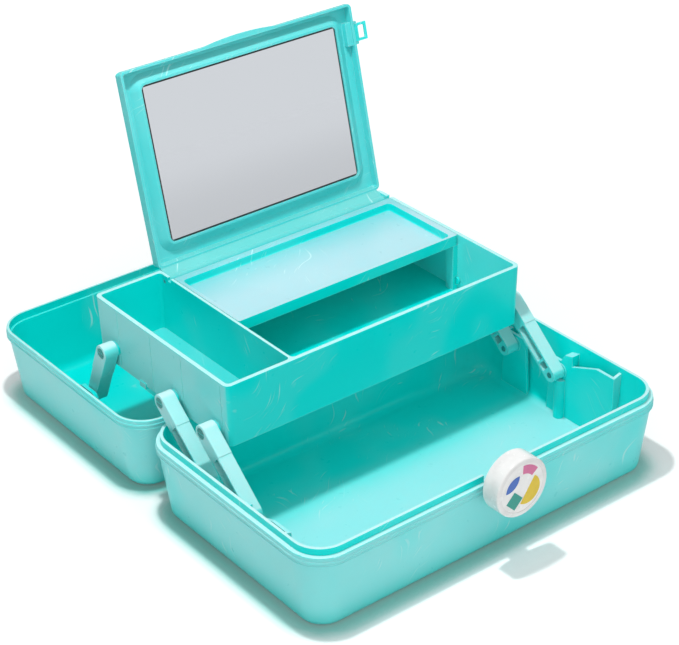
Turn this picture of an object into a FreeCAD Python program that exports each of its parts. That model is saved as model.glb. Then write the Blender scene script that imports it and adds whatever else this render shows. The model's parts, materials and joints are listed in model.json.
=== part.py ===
"""Make-up train case standing open: base, fold-back lid, swing-up tray and mirror cover."""
import math
import os

import FreeCAD
import Part

V = FreeCAD.Vector

# Fits shared by all pieces
pin_clearance = 0.05
face_clearance = 0.3

# Case halves
case_length = 331.7
base_depth = 206.2
half_height = 64.0
corner_radius = 27.0
wall = 2.6
band_height = 7.0
band_step = 1.2
band_edge_radius = 0.8
bead_rise = 0.5
bead_height = 1.4
bead_drops = (3.9, 7.0)
wall_draft = 7.5
floor_edge_radius = 6.0
inner_edge_radius = 8.4
tongue_inset = 3.8
tongue_thickness = 2.2
tongue_height = 5.4
tongue_clearance = 1.2
tongue_gap = 28.0
rim_gap = 0.4

# Case hinge
hinge_offset = 4.5
hinge_spread = 98.0
hinge_width = 42.0
hinge_leaf = 10.0
hinge_barrel_radius = 4.0
hinge_pin_radius = 1.75
lid_travel = 180.0
hinge_y = base_depth / 2 + hinge_offset
hinge_z = half_height + rim_gap / 2

# Side linkage: places are measured from the hinge line and from the rim
front_pivot_forward = 111.1
arm_spacing = 52.5
arm_pivot_drop = 19.2
arm_reach = 65.8
arm_open_angle = 40.5
arm_closed_angle = 166.0
link_pin_setback = 24.4
link_pin_rise = 28.8
link_reach = 50.6
link_open_angle = -66.0
link_turn = 226.8
front_pivot_y = hinge_y - front_pivot_forward
rear_pivot_y = front_pivot_y + arm_spacing
arm_pivot_height = half_height - arm_pivot_drop
link_pin_height = half_height + link_pin_rise
arm_rise = arm_reach * math.sin(math.radians(arm_open_angle))
arm_run = arm_reach * math.cos(math.radians(arm_open_angle))
tray_pin_z = arm_pivot_height + arm_rise

# Tray
tray_side_room = 28.35
tray_depth = 171.6
tray_forward = 77.2
tray_bottom_rise = 13.5
tray_height = 50.6
tray_wall = 2.2
tray_floor = 2.4
tray_corner = 5.0
tray_draft = 1.0
left_bin_width = 57.3
tray_length = case_length - 2 * tray_side_room
tray_bottom_z = half_height + tray_bottom_rise
tray_front_y = hinge_y - tray_forward
tray_back_y = tray_front_y + tray_depth
tray_top_z = tray_bottom_z + tray_height
tray_half = tray_length / 2
divider_left = -tray_half + left_bin_width
divider_right = divider_left + tray_wall
link_pin_y = tray_back_y - link_pin_setback
link_pin_back = link_pin_y - hinge_y

# Arms and links beside the tray
arm_side_gap = 1.5
arm_width = 11.5
arm_shoulder = 0.5
arm_head_radius = 6.5
arm_foot_radius = 5.6
arm_head_span = 22.0
arm_web = 2.4
arm_flange = 1.9
arm_edge_radius = 0.8
crossbar_from_foot = 13.0
crossbar_width = 2.2
pin_radius = 2.4
pin_head_radius = 4.2
pin_head_thickness = 1.2
pin_recess_depth = 1.5
pin_head_play = 0.4
pin_slot_width = 1.0
pin_slot_depth = 0.6
pin_barb_radius = 3.3
pin_barb_thickness = 1.6
arm_inner_x = tray_half + arm_side_gap
arm_outer_x = arm_inner_x + arm_width
pad_radius = 6.0
groove_width = 0.8
groove_depth = 0.4
groove_places = (0.047, 0.333, 0.566, 0.823)
side_lug_place = 0.625
side_lug_length = 8.0
side_lug_drop = 2.4
side_lug_rise = 4.0
side_lug_reach = 1.1

# Carriers inside the base
carrier_thickness = 2.5
carrier_top_margin = 8.0
carrier_half_width = 12.0
wing_length = 54.0
wing_drop = 1.2
gusset_rise = 2.5
pillar_radius = 5.0
boss_radius = 6.0
stop_height = 9.0
carrier_gap = 1.0
carrier_x = arm_outer_x + carrier_gap
wing_height = half_height - wing_drop

# Link brackets inside the lid
bracket_thickness = 3.0
bracket_margin = 5.0
slot_clearance = 0.5
foot_pin_radius = 2.2
foot_pin_tail = 1.0

# Palette
palette_depth = 84.6
palette_height = 9.0
palette_floor = 2.0
palette_front_lip = 2.0
palette_right_rim = 5.6
palette_left_rim = 3.0
palette_rear_rim = 6.4
palette_corner = 4.0
palette_back_gap = 17.9
palette_play = 0.5
support_width = 8.5
support_depth = 5.0
support_setback = 13.0

# Mirror cover, drawn shut and then swung open
cover_open_angle = 103.0
cover_depth = 9.0
cover_wall = 2.0
cover_floor = 2.0
cover_corner = 4.0
cover_edge_round = 1.2
cover_lift = 0.3
cover_axis_from_back = 8.4
cover_axis_drop = 5.5
cover_heel = 8.0
cover_barrel_radius = 3.6
cover_pin_radius = 1.5
rail_thickness = 2.4
trough_drop = 7.8
hinge_notch_width = 4.0
hinge_notch_depth = 3.0
hinge_notch_ahead = 5.0
cover_edge_radius = 6.0
finger_lip_width = 72.0
finger_lip_reach = 2.6
finger_lip_thickness = 1.2
cover_axis_y = tray_back_y - cover_axis_from_back
cover_axis_z = tray_top_z - cover_axis_drop
cover_rim_z = tray_top_z + cover_lift
cover_top_z = cover_rim_z + cover_depth
cover_back_y = cover_axis_y - cover_heel
cover_left_x = divider_left + 0.9
cover_right_x = tray_half

# Mirror
mirror_side_margin = 17.4
mirror_from_free_edge = 15.5
mirror_from_hinge_edge = 17.3
mirror_thickness = 3.0
mirror_corner = 3.5
mirror_play = 0.7
mirror_width = cover_right_x - cover_left_x - 2 * mirror_side_margin
mirror_height = cover_back_y - tray_front_y - mirror_from_free_edge - mirror_from_hinge_edge
pad_thickness = 0.8
pad_inset = 4.0
bezel_edge = 2.0
bezel_slope = 7.0
bezel_overhang = 0.6

# Cover clip
clip_from_free_edge = 24.7
clip_length = 18.6
clip_reach = 10.6
clip_thickness = 1.6
clip_barrel_radius = 1.5
clip_pin_radius = 0.8
clip_ear = 1.7
clip_bar = 2.2
clip_axis_out = 2.4
clip_axis_lift = 2.3
clip_boss_depth = 5.0
clip_boss_drop = 2.0
nub_length = 6.0
nub_height = 3.4
nub_reach = 3.4

# Latch
latch_radius = 23.2
latch_depth = 15.0
latch_wall = 2.2
latch_face = 2.4
latch_disc_radius = 19.4
latch_disc_recess = 2.0
latch_disc_thickness = 1.6
latch_edge_radius = 1.5
latch_centre_rise = 1.7
latch_standoff = 5.6
latch_pivot_drop = 14.7
latch_pivot_out = 3.0
latch_barrel_radius = 3.2
latch_tab_half = 4.2
latch_lug = 3.5
latch_pin_radius = 1.4
catch_width = 18.0
catch_height = 7.0
catch_reach = 4.8
catch_from_rim = 13.0
latch_centre_z = half_height + latch_centre_rise
latch_pivot_z = half_height - latch_pivot_drop

# Carry handle
handle_length = 150.0
handle_depth = 44.0
handle_bar = 14.0
handle_leg = 12.0
handle_thickness = 4.6
handle_back = 88.0
handle_corner = 12.0
handle_edge_radius = 1.6
handle_pin_radius = 1.4
handle_pin_length = 8.0
recess_depth = 5.5
recess_margin = 4.0
recess_skin = 2.2
recess_corner = 6.0


def rounded_wire(x0, x1, y0, y1, radius, z):
    """Level outline of a rectangle with round corners."""
    k = radius * (1 - math.sqrt(0.5))
    ends = [
        (V(x0 + radius, y0, z), V(x1 - radius, y0, z), V(x1 - k, y0 + k, z)),
        (V(x1, y0 + radius, z), V(x1, y1 - radius, z), V(x1 - k, y1 - k, z)),
        (V(x1 - radius, y1, z), V(x0 + radius, y1, z), V(x0 + k, y1 - k, z)),
        (V(x0, y1 - radius, z), V(x0, y0 + radius, z), V(x0 + k, y0 + k, z)),
    ]
    edges = []
    for i, (start, end, middle) in enumerate(ends):
        following = ends[(i + 1) % 4][0]
        edges.append(Part.makeLine(start, end))
        edges.append(Part.Arc(end, middle, following).toShape())
    return Part.Wire(edges)


def rounded_block(x0, x1, y0, y1, z0, z1, radius):
    """Upright block with round corners in plan."""
    return Part.Face(rounded_wire(x0, x1, y0, y1, radius, z0)).extrude(V(0, 0, z1 - z0))


def block(x0, x1, y0, y1, z0, z1):
    """Plain box between two corners."""
    return Part.makeBox(x1 - x0, y1 - y0, z1 - z0, V(x0, y0, z0))


def rod_x(x0, x1, y, z, radius):
    """Round bar along X."""
    return Part.makeCylinder(radius, x1 - x0, V(x0, y, z), V(1, 0, 0))


def rod_y(x, y0, y1, z, radius):
    """Round bar along Y."""
    return Part.makeCylinder(radius, y1 - y0, V(x, y0, z), V(0, 1, 0))


def plate_x(points, x0, x1):
    """Plate from a (y, z) outline, thick along X."""
    wire = Part.makePolygon([V(x0, y, z) for y, z in points + points[:1]])
    return Part.Face(wire).extrude(V(x1 - x0, 0, 0))


def plate_y(points, y0, y1):
    """Plate from an (x, z) outline, thick along Y."""
    wire = Part.makePolygon([V(x, y0, z) for x, z in points + points[:1]])
    return Part.Face(wire).extrude(V(0, y1 - y0, 0))


def mirrored(shape):
    """Copy on the other side of the middle plane."""
    return shape.mirror(V(0, 0, 0), V(1, 0, 0))


def both_sides(shape):
    """A piece and its mirror image."""
    return [shape, mirrored(shape)]


def joined(shapes):
    """One solid from pieces that touch."""
    whole = shapes[0].multiFuse(shapes[1:]) if len(shapes) > 1 else shapes[0]
    return whole.removeSplitter()


def without(shape, tools):
    """A solid with every tool cut away."""
    return shape.cut(Part.makeCompound(tools)).removeSplitter() if tools else shape


def level_edges(shape, z):
    """Edges that lie wholly at one height."""
    return [e for e in shape.Edges if all(abs(v.Z - z) < 1e-4 for v in e.Vertexes)]


def side_edges(shape, x):
    """Edges that lie wholly in one upright plane across X."""
    return [e for e in shape.Edges if all(abs(v.X - x) < 1e-4 for v in e.Vertexes)]


def inset_block(inset_low, inset_high, y0, y1, z0, z1):
    """Tapered tub form, given by how far it lies inside the rim outline at each end."""
    half = case_length / 2
    wires = []
    for inset, z in ((inset_low, z0), (inset_high, z1)):
        outline = (-half + inset, half - inset, y0 + inset, y1 - inset)
        wires.append(rounded_wire(*outline, corner_radius - inset, z))
    return Part.makeLoft(wires, True, True)


def tub(y0, y1, top_inset, hollow_top):
    """Outer form of one case half and the hollow inside it."""
    mid_band = half_height - band_height / 2
    body = inset_block(band_step + wall_draft, band_step, y0, y1, 0, mid_band)
    body = body.makeFillet(floor_edge_radius, level_edges(body, 0))
    half = case_length / 2
    band_low = half_height - band_height
    b = bead_rise
    band = rounded_block(-half + b, half - b, y0 + b, y1 - b, band_low, half_height, corner_radius - b)
    band = band.makeFillet(band_edge_radius, level_edges(band, half_height))
    rings = [band]
    for drop in bead_drops:
        low, high = half_height - drop - bead_height / 2, half_height - drop + bead_height / 2
        bead = rounded_block(-half, half, y0, y1, low, high, corner_radius)
        rings.append(bead.makeFillet(0.45 * bead_height, level_edges(bead, low) + level_edges(bead, high)))
    low = band_step + wall_draft + wall
    hollow = inset_block(low, top_inset, y0, y1, wall, hollow_top)
    hollow = hollow.makeFillet(inner_edge_radius, level_edges(hollow, wall))
    return joined([body] + rings), hollow


def hinge_leaves(middle, side):
    """Knuckles of one half: the outer pair, or the middle one between them."""
    leaves = []
    for centre in (-hinge_spread, hinge_spread):
        left = centre - hinge_width / 2
        right = centre + hinge_width / 2
        spans = [(left, left + hinge_leaf), (right - hinge_leaf, right)]
        if middle:
            spans = [(left + hinge_leaf + face_clearance, right - hinge_leaf - face_clearance)]
        for x0, x1 in spans:
            barrel = rod_x(x0, x1, hinge_y, hinge_z, hinge_barrel_radius)
            reach = hinge_y + side * (hinge_offset + band_step + 1)
            y0, y1 = sorted((hinge_y, reach))
            low = hinge_z - hinge_barrel_radius
            arm = block(x0, x1, y0, y1, low, half_height)
            leaves.append(barrel.fuse(arm))
    return leaves


def hinge_bore(radius):
    """Bores through both knuckle sets."""
    bores = []
    for centre in (-hinge_spread, hinge_spread):
        reach = hinge_width / 2 + 1
        bores.append(rod_x(centre - reach, centre + reach, hinge_y, hinge_z, radius))
    return bores


def case_hinge_pins():
    """Two steel pins, one in each knuckle set."""
    pins = []
    for centre in (-hinge_spread, hinge_spread):
        half = hinge_width / 2
        pins.append(rod_x(centre - half, centre + half, hinge_y, hinge_z, hinge_pin_radius))
    return Part.makeCompound(pins)


def carrier():
    """Right-hand carrier plate with pivot bosses, wing, gusset, stop and pillar."""
    inner = carrier_x
    outer = inner + carrier_thickness
    wall_x = case_length / 2 - tongue_inset - tongue_thickness / 2
    top = arm_pivot_height + carrier_top_margin
    gusset_y = front_pivot_y - wing_length
    wing = [
        (front_pivot_y, wall),
        (front_pivot_y, top),
        (front_pivot_y - carrier_half_width, top),
        (front_pivot_y - wing_length * 0.7, wing_height),
        (gusset_y, wing_height),
        (gusset_y, wall),
    ]
    stop = [
        (front_pivot_y - carrier_half_width, top - 1),
        (front_pivot_y - carrier_half_width, top + stop_height),
        (front_pivot_y - carrier_half_width + 8, top + stop_height - 2),
        (front_pivot_y + 1, top - 1),
    ]
    pieces = [plate_x(wing, inner, outer), plate_x(stop, inner, wall_x)]
    for y in (front_pivot_y, rear_pivot_y):
        w = carrier_half_width
        hump = [(y - w - 3, wall), (y - w, top), (y + w, top), (y + w + 3, wall)]
        pieces.append(plate_x(hump, inner, outer))
        pieces.append(rod_x(arm_outer_x + face_clearance, wall_x, y, arm_pivot_height, boss_radius))
    pillar_top = arm_pivot_height - boss_radius - 1.5
    pieces.append(Part.makeCylinder(pillar_radius, pillar_top - wall, V(inner, front_pivot_y, wall)))
    gusset = [(inner, wall), (wall_x, wall), (wall_x, wing_height + gusset_rise), (inner, wing_height)]
    pieces.append(plate_y(gusset, gusset_y - carrier_thickness, gusset_y))
    web = [(inner, wall), (wall_x, wall), (wall_x, top), (inner, top)]
    web_y = rear_pivot_y + carrier_half_width
    pieces.append(plate_y(web, web_y - carrier_thickness, web_y))
    return joined(pieces)


def latch_lugs():
    """Two lugs on the front wall that carry the latch pin."""
    y = -base_depth / 2 - latch_pivot_out
    lugs = []
    for side in (-1, 1):
        near = latch_tab_half + face_clearance
        x0, x1 = sorted((side * near, side * (near + latch_lug)))
        r = latch_barrel_radius
        deep = -base_depth / 2 + band_step + wall
        lugs.append(rod_x(x0, x1, y, latch_pivot_z, r))
        lugs.append(block(x0, x1, y, deep, latch_pivot_z - r, latch_pivot_z + r))
    return lugs


def base_shell():
    """Lower half of the case."""
    y0, y1 = -base_depth / 2, base_depth / 2
    outside, hollow = tub(y0, y1, tongue_inset + tongue_thickness, half_height + tongue_height + 1)
    half = case_length / 2
    inset = tongue_inset
    tongue_low = half_height - 1
    tongue_top = half_height + tongue_height
    tongue = rounded_block(
        -half + inset, half - inset, y0 + inset, y1 - inset, tongue_low, tongue_top, corner_radius - inset)
    gap_depth = tongue_inset + tongue_thickness + 1
    gap_half = tongue_gap / 2
    gap = block(-gap_half, gap_half, y0 - 1, y0 + gap_depth, half_height, tongue_top + 1)
    outside = outside.fuse(tongue)
    shell = outside.cut(hollow).cut(gap)
    carriers = both_sides(carrier().common(outside))
    shell = joined([shell] + carriers + hinge_leaves(False, -1) + latch_lugs())
    bores = hinge_bore(hinge_pin_radius)
    for y in (front_pivot_y, rear_pivot_y):
        pin = rod_x(arm_inner_x, carrier_x + carrier_thickness + 1, y, arm_pivot_height, pin_radius)
        bores += both_sides(pin)
    bores.append(latch_pin_shape(latch_pin_radius))
    return without(shell, bores)


def base_arm_pins():
    """Pivot pins at the feet of the four arms."""
    pins = []
    for y in (front_pivot_y, rear_pivot_y):
        pin = rod_x(arm_inner_x, carrier_x + carrier_thickness + 1, y, arm_pivot_height, pin_radius)
        pins += both_sides(pin)
    return Part.makeCompound(pins)


def foot_track():
    """Places of the link foot in the lid through the whole swing, as (y, z)."""
    track = []
    steps = 36
    for i in range(steps + 1):
        part = i / steps
        arm = math.radians(arm_open_angle + (arm_closed_angle - arm_open_angle) * part)
        link = math.radians(link_open_angle + link_turn * part)
        lid = math.radians(lid_travel * part)
        y = link_pin_back + arm_reach * math.cos(arm) - arm_run + link_reach * math.cos(link)
        z = link_pin_height + arm_reach * math.sin(arm) - arm_rise + link_reach * math.sin(link) - hinge_z
        along = y * math.cos(lid) + z * math.sin(lid)
        above = z * math.cos(lid) - y * math.sin(lid)
        track.append((hinge_y + along, hinge_z + above))
    return track


def link_bracket():
    """Right-hand slotted bracket on the lid floor."""
    track = foot_track()
    grow = foot_pin_radius + slot_clearance
    y0 = min(p[0] for p in track) - grow
    y1 = max(p[0] for p in track) + grow
    z0 = min(p[1] for p in track) - grow
    z1 = max(p[1] for p in track) + grow
    outer = carrier_x + bracket_thickness
    wall_x = case_length / 2 - tongue_inset - tongue_thickness / 2
    m = bracket_margin
    plate = block(carrier_x, outer, y0 - m, y1 + m, wall, z1 + m)
    top_edges = [e for e in level_edges(plate, z1 + m) if e.Length < bracket_thickness + 0.1]
    plate = plate.makeFillet(m, top_edges)
    ribs = [
        block(carrier_x, wall_x, y0 - m, y0 - m + bracket_thickness, wall, z1 - 4),
        block(carrier_x, wall_x, y1 + m - bracket_thickness, y1 + m, wall, z1 - 4),
    ]
    slot = rounded_slot(carrier_x - 1, outer + 1, y0, y1, z0, z1, grow)
    return joined([plate] + ribs).cut(slot)


def rounded_slot(x0, x1, y0, y1, z0, z1, radius):
    """Window with round corners, cut along X."""
    r = radius
    corners = [(y, z) for y in (y0 + r, y1 - r) for z in (z0 + r, z1 - r)]
    pieces = [rod_x(x0, x1, y, z, r) for y, z in corners]
    pieces.append(block(x0, x1, y0 + r, y1 - r, z0, z1))
    pieces.append(block(x0, x1, y0, y1, z0 + r, z1 - r))
    return joined(pieces)


def handle_axis():
    """Line of the handle pins, as (y, z)."""
    return hinge_y + handle_back + handle_thickness / 2, recess_depth / 2


def lid_shell():
    """Upper half of the case, lying open behind the base."""
    y0 = hinge_y + hinge_offset
    y1 = y0 + base_depth
    ledge = half_height - tongue_height - tongue_clearance
    outside, hollow = tub(y0, y1, band_step + wall, ledge + 0.5)
    half = case_length / 2
    inset = tongue_inset - tongue_clearance
    rebate = rounded_block(
        -half + inset, half - inset, y0 + inset, y1 - inset, ledge, half_height + 1, corner_radius - inset)
    shell = outside.cut(hollow).cut(rebate)
    ry0 = hinge_y + handle_back - recess_margin
    ry1 = ry0 + handle_depth + 2 * recess_margin
    rx = handle_length / 2 + 1
    skin = recess_skin
    bump = rounded_block(
        -rx - skin, rx + skin, ry0 - skin, ry1 + skin, 0.5, recess_depth + skin, recess_corner + skin)
    recess = rounded_block(-rx, rx, ry0, ry1, -1, recess_depth, recess_corner)
    rim = half_height - catch_from_rim
    catch = [
        (y1 - band_step - wall, rim),
        (y1, rim),
        (y1 + catch_reach, rim - 1.5),
        (y1 + catch_reach, rim - catch_height),
        (y1 - band_step - wall, rim - catch_height),
    ]
    pieces = [shell, bump, plate_x(catch, -catch_width / 2, catch_width / 2)]
    brackets = both_sides(link_bracket().common(outside))
    shell = joined(pieces + brackets + hinge_leaves(True, 1))
    tools = [recess] + hinge_bore(hinge_pin_radius + pin_clearance)
    for pin in handle_pin_shapes():
        tools.append(pin)
    return without(shell, tools)


def handle_pin_shapes():
    """The two handle pins as plain rods."""
    y, z = handle_axis()
    end = handle_length / 2 + 1 + recess_skin - 0.2
    return both_sides(rod_x(end - handle_pin_length, end, y, z, handle_pin_radius))


def carry_handle():
    """Flat bail with a grip bar and two legs, folded into the lid."""
    y, z = handle_axis()
    x = handle_length / 2
    z0 = z - handle_thickness / 2
    z1 = z + handle_thickness / 2
    far = y - handle_thickness / 2 + handle_depth
    bail = rounded_block(-x, x, y - handle_depth, far, z0, z1, handle_corner)
    level = level_edges(bail, z0) + level_edges(bail, z1)
    grip = [e for e in level if all(v.Y > y for v in e.Vertexes)]
    bail = bail.makeFillet(handle_edge_radius, grip)
    inner = x - handle_leg
    window = rounded_block(
        -inner, inner, y - 2 * handle_depth, far - handle_bar, z0 - 1, z1 + 1, handle_corner / 2)
    behind = block(-x - 1, x + 1, y - 2 * handle_depth, y, z0 - 1, z1 + 1)
    eye = rod_x(x - handle_leg, x, y, z, handle_thickness / 2)
    bail = joined([without(bail, [window, behind])] + both_sides(eye))
    bores = [rod_x(-x - 1, x + 1, y, z, handle_pin_radius + pin_clearance)]
    return without(bail, bores)


def bar_wire(reach, low, head, foot, x):
    """Outline of an arm from a distance along it to its rounded head."""
    start = foot + (head - foot) * low / reach
    a = V(x, low, -start)
    b = V(x, reach, -head)
    c = V(x, reach, head)
    d = V(x, low, start)
    edges = [Part.makeLine(a, b), Part.Arc(b, V(x, reach + head, 0), c).toShape(), Part.makeLine(c, d)]
    if low > 0:
        edges.append(Part.makeLine(d, a))
    else:
        edges.append(Part.Arc(d, V(x, -start, 0), a).toShape())
    return Part.Wire(edges)


def side_bar(reach, channel_outside):
    """Channelled bar lying along Y, foot hole at the origin and head hole at its reach."""
    throat = arm_head_radius - arm_shoulder
    head_low = reach - arm_head_span
    outlines = [
        bar_wire(reach, 0, throat, arm_foot_radius, arm_inner_x),
        bar_wire(reach, head_low, arm_head_radius, arm_head_radius, arm_inner_x),
    ]
    bars = [Part.Face(outline).extrude(V(arm_width, 0, 0)) for outline in outlines]
    bars = [b.makeFillet(arm_edge_radius, side_edges(b, arm_outer_x)) for b in bars]
    bar = bars[0].fuse(bars[1])
    half = arm_foot_radius - arm_flange
    mouth, bottom = arm_inner_x - 1, arm_outer_x - arm_web
    if channel_outside:
        mouth, bottom = arm_inner_x + arm_web, arm_outer_x + 1
    first = crossbar_from_foot - crossbar_width / 2
    second = crossbar_from_foot + crossbar_width / 2
    pockets = [
        block(mouth, bottom, arm_foot_radius, first, -half, half),
        block(mouth, bottom, second, head_low, -half, half),
    ]
    recess = rod_x(arm_outer_x - pin_recess_depth, arm_outer_x + 1, reach, 0, pin_head_radius + pin_head_play)
    bore = rod_x(arm_inner_x - 1, arm_outer_x, reach, 0, pin_radius + pin_clearance)
    return bar, pockets + [recess, bore]


def side_arm(pivot_y, channel_outside):
    """Right-hand arm on its base pivot, set at its open angle."""
    bar, tools = side_bar(arm_reach, channel_outside)
    tools.append(rod_x(arm_inner_x - 1, arm_outer_x + 1, 0, 0, pin_radius + pin_clearance))
    arm = without(bar, tools)
    arm.rotate(V(0, 0, 0), V(1, 0, 0), arm_open_angle)
    arm.translate(V(0, pivot_y, arm_pivot_height))
    return arm


def lid_link():
    """Right-hand link that hangs from the tray down to the lid bracket."""
    bar, tools = side_bar(link_reach, False)
    tools.append(rod_x(arm_inner_x - 1, arm_outer_x + 1, 0, 0, foot_pin_radius))
    link = without(bar, tools)
    link.rotate(V(0, 0, 0), V(1, 0, 0), link_open_angle + 180)
    y, z = foot_track()[0]
    link.translate(V(0, y, z))
    return link


def link_foot_pin():
    """Right-hand pin at the foot of the link, through the bracket slot."""
    y, z = foot_track()[0]
    return rod_x(arm_inner_x, carrier_x + bracket_thickness + foot_pin_tail, y, z, foot_pin_radius)


def tray_pin_places():
    """Where arms and links hang on the tray side, as (y, z)."""
    return [
        (front_pivot_y + arm_run, tray_pin_z),
        (rear_pivot_y + arm_run, tray_pin_z),
        (link_pin_y, link_pin_height),
    ]


def tray_wall_x(z):
    """Outside of the leaning tray wall at one height."""
    return tray_half - tray_draft * (tray_top_z - z) / tray_height


def tray_snap_pins():
    """Six snap pins with slotted heads."""
    pins = []
    for y, z in tray_pin_places():
        head_x = arm_outer_x - pin_recess_depth + 0.1
        inside = tray_wall_x(z) - tray_wall - 0.5
        shank = rod_x(inside, head_x + 0.2, y, z, pin_radius)
        barb = rod_x(inside - pin_barb_thickness, inside + 0.1, y, z, pin_barb_radius)
        head = rod_x(head_x, head_x + pin_head_thickness, y, z, pin_head_radius)
        half = pin_slot_width / 2
        slot = block(
            head_x + pin_head_thickness - pin_slot_depth, head_x + pin_head_thickness + 1,
            y - pin_head_radius - 1, y + pin_head_radius + 1, z - half, z + half)
        pins += both_sides(joined([shank, barb, head]).cut(slot))
    return Part.makeCompound(pins)


def tray_hollows():
    """Left bin and main well of the tray."""
    y0 = tray_front_y + tray_wall + tray_draft
    y1 = tray_back_y - tray_wall - tray_draft
    z0 = tray_bottom_z + tray_floor
    top = tray_top_z + 1
    inner = tray_half - tray_wall - tray_draft
    corner = tray_corner - tray_wall
    left = rounded_block(-inner, divider_left, y0, y1, z0, top, corner)
    main = rounded_block(divider_right, inner, y0, y1, z0, top, corner)
    return [left, main]


def side_grooves():
    """Thin upright lines down both leaning side walls of the tray."""
    grooves = []
    low, high = tray_bottom_z - 1, tray_top_z - tray_wall
    deep = groove_depth
    outline = [
        (tray_wall_x(low) - deep, low), (tray_wall_x(low) + 1, low),
        (tray_wall_x(high) + 1, high), (tray_wall_x(high) - deep, high),
    ]
    for place in groove_places:
        y = tray_front_y + place * tray_depth
        grooves += both_sides(plate_y(outline, y - groove_width / 2, y + groove_width / 2))
    return grooves


def tray_shell():
    """Tray box with divider, palette supports, hinge trough, pivot pads and clip nub."""
    d = tray_draft
    x, y0, y1 = tray_half, tray_front_y, tray_back_y
    low = rounded_wire(-x + d, x - d, y0 + d, y1 - d, tray_corner, tray_bottom_z)
    high = rounded_wire(-x, x, y0, y1, tray_corner, tray_top_z)
    shell = Part.makeLoft([low, high], True, True)
    shell = without(shell, tray_hollows() + side_grooves())
    inner = tray_half - tray_wall - tray_draft
    notch_low = tray_top_z - trough_drop
    notch_y = cover_axis_y - cover_barrel_radius
    notch = block(divider_right, inner, notch_y, tray_back_y + 1, notch_low, tray_top_z + 1)
    step_y = cover_axis_y - hinge_notch_ahead
    step_z = tray_top_z - hinge_notch_depth
    step_x = cover_left_x - 2
    step = block(step_x, tray_half + 1, step_y - hinge_notch_width, step_y, step_z, tray_top_z + 1)
    shell = without(shell, [notch, step])
    floor = tray_bottom_z + tray_floor
    shelf = tray_top_z - palette_height
    palette_y1 = tray_back_y - palette_back_gap
    palette_y0 = palette_y1 - palette_depth
    supports = []
    spans = [(inner - support_depth, inner + 0.5), (divider_right - 0.5, divider_right + support_depth)]
    for y in (palette_y0, palette_y1 - support_width - support_setback):
        for x0, x1 in spans:
            supports.append(block(x0, x1, y, y + support_width, floor - 0.5, shelf))
    lug_y = tray_front_y + side_lug_place * tray_depth
    lug = [
        (inner, tray_bottom_z - side_lug_drop),
        (tray_half - tray_draft + side_lug_reach, tray_bottom_z - side_lug_drop),
        (tray_half - tray_draft + side_lug_reach, tray_bottom_z + side_lug_rise / 2),
        (inner + 1, tray_bottom_z + side_lug_rise),
    ]
    pads = both_sides(plate_y(lug, lug_y, lug_y + side_lug_length))
    for y, z in tray_pin_places():
        pads += both_sides(rod_x(inner, arm_inner_x - face_clearance, y, z, pad_radius))
    nub_y = tray_front_y + clip_from_free_edge
    nub_z = cover_rim_z + clip_axis_lift - clip_reach / 2
    nub = [
        (tray_half - tray_draft, nub_z - nub_height / 2),
        (tray_half + nub_reach, nub_z - nub_height / 2),
        (tray_half + nub_reach, nub_z),
        (tray_half - tray_draft, nub_z + nub_height / 2),
    ]
    pieces = [shell] + supports + pads + [plate_y(nub, nub_y - nub_length / 2, nub_y + nub_length / 2)]
    shell = joined(pieces)
    bores = []
    for y, z in tray_pin_places():
        bores += both_sides(rod_x(inner - 2, arm_inner_x, y, z, pin_radius))
        bores += both_sides(rod_x(inner - support_depth / 2, inner, y, z, pin_barb_radius + face_clearance))
    bores += cover_pin_shapes(cover_pin_radius)
    return without(shell, bores)


def palette_tray():
    """Shallow drop-in pan at the back of the main well."""
    inner = tray_half - tray_wall - tray_draft
    x0 = divider_right + palette_play
    x1 = inner - palette_play
    y1 = tray_back_y - palette_back_gap
    y0 = y1 - palette_depth
    z0 = tray_top_z - palette_height
    pan = rounded_block(x0, x1, y0, y1, z0, tray_top_z, 1.5)
    pocket = rounded_block(
        x0 + palette_left_rim, x1 - palette_right_rim, y0 + palette_front_lip, y1 - palette_rear_rim,
        z0 + palette_floor, tray_top_z + 1, palette_corner)
    pocket = pocket.makeFillet(palette_floor, level_edges(pocket, z0 + palette_floor))
    return pan.cut(pocket)


def swung(shape):
    """Cover pieces are drawn shut; this swings them to the open rest pose."""
    copy = shape.copy()
    copy.rotate(V(0, cover_axis_y, cover_axis_z), V(1, 0, 0), -cover_open_angle)
    return copy


def cover_pin_shapes(radius):
    """Left and right hinge pins of the cover as plain rods."""
    inner = tray_half - tray_wall - tray_draft
    left = rod_x(divider_left, divider_right + 6, cover_axis_y, cover_axis_z, radius)
    right = rod_x(inner - 6, tray_wall_x(cover_axis_z), cover_axis_y, cover_axis_z, radius)
    return [left, right]


def cover_hinge_pins():
    """Two short pins between tray and cover."""
    return Part.makeCompound(cover_pin_shapes(cover_pin_radius))


def mirror_wire(grow, z):
    """Outline of the mirror place, grown sideways by a margin."""
    centre = (cover_left_x + cover_right_x) / 2
    y0 = tray_front_y + mirror_from_free_edge
    y1 = y0 + mirror_height
    half = mirror_width / 2 + grow
    corner = mirror_corner + max(grow, 0)
    return rounded_wire(centre - half, centre + half, y0 - grow, y1 + grow, corner, z)


def mirror_box(grow, z0, z1):
    """Block round the mirror place, grown sideways by a margin."""
    return Part.Face(mirror_wire(grow, z0)).extrude(V(0, 0, z1 - z0))


def clip_axis():
    """Clip pin line with the cover shut, as (x, z)."""
    return cover_right_x + clip_axis_out, cover_rim_z + clip_axis_lift


def clip_span():
    """Ends of the clip along the cover edge, as (y0, y1)."""
    middle = tray_front_y + clip_from_free_edge
    return middle - clip_length / 2, middle + clip_length / 2


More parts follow.
